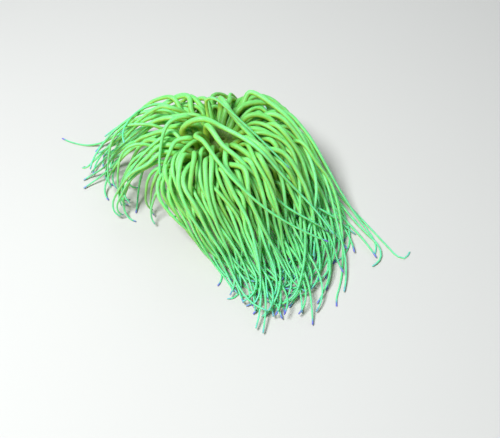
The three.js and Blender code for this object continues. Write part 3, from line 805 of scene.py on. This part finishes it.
def flesh(name, paint, painted_light_tint, painted_shade_tint, depth, clouds, rough, grain):
    """A fleshy material. paint builds the nodes of its colour and returns their last socket."""
    material = bpy.data.materials.new(name)
    material.use_nodes = True
    tree = material.node_tree
    shader = tree.nodes["Principled BSDF"]
    shader.inputs["Subsurface Weight"].default_value = GLOW
    shader.inputs["Subsurface Radius"].default_value = GLOW_REACH
    shader.inputs["Subsurface Scale"].default_value = depth * MM
    shader.inputs["Specular IOR Level"].default_value = SHINE
    cloudy, painted_light, fine = (tree.nodes.new("ShaderNodeGroup") for _ in range(3))
    cloudy.node_tree, painted_light.node_tree, fine.node_tree = CLOUDY, PAINTED_LIGHT, GRAIN
    cloudy.inputs["Amount"].default_value = clouds
    # painted light on the upper side of the flesh, painted shade on its underside
    painted_light.inputs["Painted Light"].default_value = colour(painted_light_tint)
    painted_light.inputs["Painted Shade"].default_value = colour(painted_shade_tint)
    fine.inputs["Rough"].default_value = rough
    bump = tree.nodes.new("ShaderNodeBump")
    bump.inputs["Strength"].default_value = grain
    bump.inputs["Distance"].default_value = PIMPLE * MM
    link(
        tree,
        paint(tree), cloudy.inputs["Color"],
        cloudy.outputs["Color"], painted_light.inputs["Color"],
        painted_light.outputs["Color"], shader.inputs["Base Color"],
        fine.outputs["Roughness"], shader.inputs["Roughness"],
        fine.outputs["Height"], bump.inputs["Height"],
        bump.outputs["Normal"], shader.inputs["Normal"],
    )
    return material


# %% The tentacles' flesh
def tentacle_paint(tree):
    """Colours along the tentacle, some tentacles warmer than others, and violet tips"""
    along, tone = shader_attribute(tree, "along"), shader_attribute(tree, "tone")
    flesh_colour = ramp(tree, TENTACLE_COLOURS, along)
    warmth = ranged(tree, tone, -1, 1, 0, WARMEST)
    warmer = mix(tree, "MULTIPLY", warmth, flesh_colour, colour(WARM_SHADE))
    tip = ranged(tree, along, TIP_FROM, TIP_FULL)
    violet = mix(tree, "MULTIPLY", 1.0, tip, ranged(tree, tone, *TIP_TONES, PALEST_TIP, 1))
    return mix(tree, "MIX", violet, warmer, colour(TIP_COLOUR))


# the first of the two tints is painted light on the upper side, the second painted shade underneath
TENTACLE_FLESH = flesh(
    "tentacle flesh", tentacle_paint, painted_light_tint="a8ffff", painted_shade_tint="eaf0a4",
    depth=2.0, clouds=0.3, rough=0.42, grain=0.25,
)
print("material:", TENTACLE_FLESH.name)

# %% [markdown]
# ## The tentacles
#
# The real ones are one body with the rest. As one mesh they would be heavy to edit, and as two
# hundred there would be too many names, so they are made in four pieces: right, left, front and
# inner. Each stands for the solids of its part of the crown. Blender can unfold a mesh by itself,
# but here the surface already knows where it is, so every tentacle gets a straight strip of its
# own in the map for baking.

# %% Which tentacle goes with which solids
OUTER_CUTS = (-8, 16, 45, 66, 85, 105, 143, 160, 185, 208, 221, 248, 275, 300, 322, 340)
SIDES = {"right": range(0, 5), "left": range(5, 9), "front": range(9, 16)}


def side_of(strand):
    """The piece that a tentacle belongs to"""
    if strand["start"] < BAND_SPLIT:
        return "inner"
    turned = (strand["at"] - OUTER_CUTS[0]) % 360
    sector = sum(turned >= cut - OUTER_CUTS[0] for cut in OUTER_CUTS) - 1
    return next(side for side, sectors in SIDES.items() if sector in sectors)


groups = {side: [] for side in (*SIDES, "inner")}
for strand, line in zip(strands, smooth_lines):
    groups[side_of(strand)].append((strand, line))
print({side: len(group) for side, group in groups.items()})


# %% The map for baking, and what lies on the floor
STRIP_COLUMNS = 3
STRIP_GAP = 0.02  # free share at each end of a strip
STRIP_SIDE_GAP = 0.06  # and at its sides


def bake_strips(mesh, count):
    """A UV map with one strip for each tentacle: along it, and around it"""
    corner = np.empty(len(mesh.loops), int)
    mesh.loops.foreach_get("vertex_index", corner)

    def read(name):
        values = np.empty(len(mesh.vertices), np.float32)
        mesh.attributes[name].data.foreach_get("value", values)
        return values[corner]

    along, around, strand = read("along"), read("around"), np.round(read("strand"))
    first = np.empty(len(mesh.polygons), int)
    total = np.empty(len(mesh.polygons), int)
    mesh.polygons.foreach_get("loop_start", first)
    mesh.polygons.foreach_get("loop_total", total)
    face = np.repeat(np.arange(len(first)), total)
    # a face across the seam has corners on both sides of it, and goes past the end of the strip
    wraps = (np.maximum.reduceat(around, first) - np.minimum.reduceat(around, first) > 0.5)[face]
    around = around + (wraps & (around < 0.5))
    rows = math.ceil(count / STRIP_COLUMNS)
    u = (strand % STRIP_COLUMNS + STRIP_GAP + (1 - 2 * STRIP_GAP) * along) / STRIP_COLUMNS
    v = (strand // STRIP_COLUMNS + STRIP_SIDE_GAP + (1 - 2 * STRIP_SIDE_GAP) * around) / rows
    layer = mesh.uv_layers.new(name="OFBake")
    layer.uv.foreach_set("vector", np.stack([u, v], 1).astype(np.float32).ravel())


def press_flat(mesh):
    """What would lie under the floor is pressed flat on it"""
    points = np.empty(len(mesh.vertices) * 3, np.float32)
    mesh.vertices.foreach_get("co", points)
    points[2::3] = np.maximum(points[2::3], 0)
    mesh.vertices.foreach_set("co", points)
    mesh.update()


# %% Make the four pieces
TUBE_SIDES = 14
TUBE_DETAIL = 1

tubes = tube_tree()
pieces = {}
for side, group in groups.items():
    chains = chain_object(side, group)
    piece = by_nodes(
        chains, tubes, side + "_tentacles", Sides=TUBE_SIDES, Detail=TUBE_DETAIL, Flesh=TENTACLE_FLESH,
    )
    bake_strips(piece.data, len(group))
    press_flat(piece.data)
    pieces[side] = piece
    print(piece.name, len(piece.data.polygons), "faces")

# %% [markdown]
# ## The body
#
# The column, its foot, the crown and the mouth are one skin. Turning a profile with Spin would
# make them too round, and sculpting could not be repeated. So it is a grid wrapped round the axis:
# a profile gives the height and distance of each ring, and small waves round the ring add the
# scalloped foot, the fine ribs of the column, the radial folds of the disc and the lips.

# %% The profile, from under the foot to the mouth
PROFILE = np.array([
    (0, 0), (9, 0), (18, 0), (25, 0), (28.2, 0.05), (29, 0.9), (28.6, 2.2), (26.8, 4),
    (24.4, 6.2), (22.6, 8.6), (21.3, 12), (21, 17), (21.2, 22), (22.2, 26), (24.2, 30),
    (26.6, 34), (28.8, 37), (30.9, 38.8), (31.5, 40.4), (31.2, 41.7), (29.4, 42.8), (26, 44.4),
    (21, 46.9), (16, 48.9), (12, 49.7), (9.4, 49.5), (7.6, 48.6), (6, 48.2), (4.4, 48.3),
    (3, 48.4), (1.6, 48.2), (0.6, 47.6), (0, 47.2),
])
UNDER_EDGE, RIM, DISC = 4, 18, 24  # where in the profile they start
RING_SIDES = 192
RINGS = 150
print("profile points:", len(PROFILE))

# %% Waves round the rings
SCALLOPS = ((9, 1.0, 1.0), (15, 0.6, 2.2))  # how many round the foot, how deep, how far turned
SCALLOP_DEPTH = 0.35
SCALLOP_AT, SCALLOP_HEIGHT = 1.0, 3.0
RIBS = 48
RIB_DEPTH = 0.16
RIBS_FROM = 6.0  # the ribs are full above this height
WRINKLE_DEPTH = 0.12
WRINKLE_PITCH = 2.1
WRINKLE_SWAY, WRINKLE_LOBES = 0.7, 3
WRINKLES_TO = 16.0  # the wrinkles fade out at this height


def bump_at(value, middle, width):
    """A soft bump of height 1"""
    return np.exp(-(((value - middle) / width) ** 2))


def wavy_side(rho, z, turn, side):
    """Distances from the axis with the foot's scallops and the column's ribs and wrinkles"""
    scallop = sum(depth * np.sin(count * turn + turned) for count, depth, turned in SCALLOPS)
    rho = rho + bump_at(z, SCALLOP_AT, SCALLOP_HEIGHT) * side * SCALLOP_DEPTH * scallop
    rho = rho + side * RIB_DEPTH * np.cos(RIBS * turn) * smooth(z / RIBS_FROM)
    wrinkle = np.sin(z * WRINKLE_PITCH + WRINKLE_SWAY * np.sin(WRINKLE_LOBES * turn))
    return rho + side * WRINKLE_DEPTH * wrinkle * smooth(1 - z / WRINKLES_TO)


# %% Lips and folds on the disc
SLIT_HALF = 2.2  # half the length of the slit mouth
LIP_AT, LIP_WIDTH, LIP_HEIGHT = 2.0, 0.95, 1.5
LIP_NOTCHES, LIP_NOTCH = 14, 0.22
THROAT_WIDTH, THROAT_DEPTH = 0.75, 1.6
FOLDS = 24
FOLD_DEPTH = 0.13
FOLDS_FROM, FOLDS_TO, FOLD_FADE = 3.0, 14.0, 3.0


def mouth_and_folds(rho, z, turn, top, slit):
    """Heights with the lips round the slit, the throat in it and the folds that run out from it"""
    lips = bump_at(slit, LIP_AT, LIP_WIDTH) * (LIP_HEIGHT + LIP_NOTCH * np.cos(LIP_NOTCHES * turn))
    z = z + top * (lips - THROAT_DEPTH * bump_at(slit, 0, THROAT_WIDTH))
    band = smooth((rho - FOLDS_FROM) / FOLD_FADE) * smooth((FOLDS_TO - rho) / FOLD_FADE)
    return z + band * top * FOLD_DEPTH * np.cos(FOLDS * turn)


# %% The grid, closed at both ends
SIDE_FADE_IN, SIDE_FADE_OUT, TOP_FADE_IN = 3.0, 4.0, 4.0  # along the profile
THROAT_FLOOR = 45.6
LIP_COLOUR_AT, LIP_COLOUR_WIDTH = 1.9, 1.3
DISC_COLOUR_TO, DISC_COLOUR_FADE = 13.5, 3.0


def body_faces(rings):
    """Quads between the rings, and triangles to the first and the last point"""
    faces = []
    top_ring = 1 + (rings - 1) * RING_SIDES
    top_point = 1 + rings * RING_SIDES
    for n in range(RING_SIDES):
        after = (n + 1) % RING_SIDES
        faces.append((0, 1 + after, 1 + n))
        faces.append((top_point, top_ring + n, top_ring + after))
        for ring in range(rings - 1):
            a = 1 + ring * RING_SIDES
            faces.append((a + n, a + after, a + after + RING_SIDES, a + n + RING_SIDES))
    return faces


def body_mesh():
    """The closed skin, whose points know how much they belong to the disc, the lips and the throat"""
    place = np.concatenate([[0], np.cumsum(np.linalg.norm(np.diff(PROFILE, axis=0), axis=1))])
    where = np.linspace(0, place[-1], RINGS)
    rho, z = curve_through(place, PROFILE, where).T
    rho, z, where = (np.repeat(part[1:-1, None], RING_SIDES, 1) for part in (rho, z, where))
    turn = np.repeat((np.arange(RING_SIDES) * 2 * np.pi / RING_SIDES)[None], len(rho), 0)
    rising = smooth((where - place[UNDER_EDGE]) / SIDE_FADE_IN)
    side = rising * smooth((place[RIM] - where) / SIDE_FADE_OUT)
    top = smooth((where - place[DISC]) / TOP_FADE_IN)
    rho = wavy_side(rho, z, turn, side)
    x, y = rho * np.cos(turn), rho * np.sin(turn)
    slit = np.hypot(np.maximum(np.abs(x) - SLIT_HALF, 0), y)
    z = mouth_and_folds(rho, z, turn, top, slit)
    grid = np.stack([x, y, z], -1).reshape(-1, 3)
    points = np.concatenate([[[0, 0, 0]], grid, [[0, 0, THROAT_FLOOR]]])
    mesh = bpy.data.meshes.new("body")
    mesh.from_pydata((points * MM).tolist(), [], body_faces(len(rho)))
    masks = {
        "disc": (smooth((DISC_COLOUR_TO - np.hypot(x, y)) / DISC_COLOUR_FADE), 1),
        "lip": (bump_at(slit, LIP_COLOUR_AT, LIP_COLOUR_WIDTH), 0),
        "throat": (bump_at(slit, 0, THROAT_WIDTH), 1),
    }
    for key, (mask, last) in masks.items():
        value = np.concatenate([[0], (top * mask).ravel(), [last]]).astype(np.float32)
        mesh.attributes.new(key, "FLOAT", "POINT").data.foreach_set("value", value)
    mesh.shade_smooth()
    return mesh


# %% The body's flesh
COLUMN_COLOURS = ((0, "6b6234"), (0.3, "6e7436"), (0.7, "6f8338"), (0.84, "7a9c3e"), (1, "6f8a36"))
RIB_COLOUR = "a3a458"
RIB_SHARPNESS = 4
DISC_COLOUR, DISC_LINE_COLOUR = "587430", "7c9044"
LIP_COLOUR = "8f9a55"
THROAT_COLOUR = "4a4a22"


def body_paint(tree):
    """Colours from the foot up, pale lines on the ribs, and the disc, the lips and the throat"""
    place = tree.nodes.new("ShaderNodeTexCoord")
    parts = tree.nodes.new("ShaderNodeSeparateXYZ")
    tree.links.new(place.outputs["Object"], parts.inputs["Vector"])
    turn = calculate(tree, "ARCTAN2", parts.outputs["Y"], parts.outputs["X"])
    wave = calculate(tree, "COSINE", calculate(tree, "MULTIPLY", turn, RIBS))
    ridge = calculate(tree, "MULTIPLY_ADD", wave, 0.5, 0.5)
    on_rib = calculate(tree, "POWER", ridge, RIB_SHARPNESS)
    height = ranged(tree, parts.outputs["Z"], 0, CROWN_TOP * MM)
    painted = mix(tree, "MIX", on_rib, ramp(tree, COLUMN_COLOURS, height), colour(RIB_COLOUR))
    disc = mix(tree, "MIX", on_rib, colour(DISC_COLOUR), colour(DISC_LINE_COLOUR))
    for mask, paint in (("disc", disc), ("lip", colour(LIP_COLOUR)), ("throat", colour(THROAT_COLOUR))):
        painted = mix(tree, "MIX", shader_attribute(tree, mask), painted, paint)
    return painted


# the first of the two tints is painted light on the upper side, the second painted shade underneath
BODY_FLESH = flesh(
    "body flesh", body_paint, painted_light_tint="e6ffe0", painted_shade_tint="f4ecc0", depth=2.0, clouds=0.45, rough=0.5, grain=0.4,
)
print("material:", BODY_FLESH.name)

# %% Make the body
body = bpy.data.objects.new("body", body_mesh())
body.data.materials.append(BODY_FLESH)
press_flat(body.data)
bpy.context.scene.collection.objects.link(body)
print("body:", len(body.data.polygons), "faces")

# %% [markdown]
# ## Floor and light
#
# A plain pale floor, a big soft lamp above the left shoulder, and weaker ones that open the
# shadows from the right and from behind. An even sky alone could light the scene too, but then
# the tentacles would cast no shadows on each other. The walls are only a colour all round: it
# sends little light, and looks pale where the camera sees past the floor.

# %% Floor
FLOOR_COLOUR = (0.62, 0.63, 0.62, 1)
FLOOR_ROUGHNESS = 0.9
FLOOR_RADIUS = 0.95  # metres, as far as the lamps reach
FLOOR_SIDES = 96

plaster = bpy.data.materials.new("pale floor")
plaster.use_nodes = True
plaster_shader = plaster.node_tree.nodes["Principled BSDF"]
plaster_shader.inputs["Base Color"].default_value = FLOOR_COLOUR
plaster_shader.inputs["Roughness"].default_value = FLOOR_ROUGHNESS
floor_mesh = bpy.data.meshes.new("floor")
floor_turns = [2 * math.pi * n / FLOOR_SIDES for n in range(FLOOR_SIDES)]
floor_rim = [(FLOOR_RADIUS * math.cos(turn), FLOOR_RADIUS * math.sin(turn), 0) for turn in floor_turns]
floor_mesh.from_pydata(floor_rim, [], [range(FLOOR_SIDES)])
floor_mesh.materials.append(plaster)
floor = bpy.data.objects.new("floor", floor_mesh)
bpy.context.scene.collection.objects.link(floor)
print("floor:", 2 * FLOOR_RADIUS, "m across")

# %% Lamps
LAMP_AIM = Vector((0, -0.02, 0.03))
# place and size in metres, and power in watts
LAMPS = {
    "key": ((-0.4, -0.25, 0.95), 0.4, 14),
    "fill": ((0.9, -0.5, 0.6), 0.9, 1.6),
    "back": ((0.2, 0.9, 0.7), 0.8, 2.2),
}
for name, (place, size, power) in LAMPS.items():
    data = bpy.data.lights.new(name, "AREA")
    data.shape = "DISK"
    data.size = size
    data.energy = power
    lamp = bpy.data.objects.new(name, data)
    lamp.location = place
    lamp.rotation_euler = (LAMP_AIM - lamp.location).to_track_quat("-Z", "Y").to_euler()
    bpy.context.scene.collection.objects.link(lamp)
print("lamps:", len(LAMPS))

# %% Walls
WALL_COLOUR = (0.85, 0.9, 0.92, 1)
WALL_LIGHT = 0.16
WALLS_SEEN = 0.64  # how bright they look to the camera

world = bpy.data.worlds.new("room")
world.use_nodes = True
room = world.node_tree.nodes["Background"]
room.inputs["Color"].default_value = WALL_COLOUR
ray = world.node_tree.nodes.new("ShaderNodeLightPath")
strength = ranged(world.node_tree, ray.outputs["Is Camera Ray"], 0, 1, WALL_LIGHT, WALLS_SEEN)
link(world.node_tree, strength, room.inputs["Strength"])
bpy.context.scene.world = world
bpy.context.scene.view_settings.view_transform = "Standard"
print("walls:", WALL_LIGHT, "of light,", WALLS_SEEN, "seen")

# %% [markdown]
# ## What stands for what
#
# The skin hides the solids it stands for, and rides on the one body of this still model. The solids
# could stay inside the skin, but then they would show through wherever they are the thicker ones.

# %% Hand over
INNER_LOCKS = 7
IN_TWO = ("left_hooked", "left_arched", "left_looped")  # long ones whose solids are two lengths
LOCKS = {side: [f"outer_tentacles_{n + 1}" for n in sectors] for side, sectors in SIDES.items()}
LOCKS["inner"] = [f"inner_tentacles_{n + 1}" for n in range(INNER_LOCKS)]
for side, piece in pieces.items():
    nodes = list(LOCKS[side])
    for name in (strand["name"] for strand, _ in groups[side] if strand["name"] in PARTED):
        parts = ("base", "tip") if name in IN_TWO else ("base", "middle", "tip")
        nodes += [f"{name}_{part}" for part in parts]
    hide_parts(*nodes)
    print(piece.name, "stands for", len(nodes), "solids")
    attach(piece, "root")
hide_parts("pedal_disc", "column", "oral_disc", "mouth")
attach(body, "root")
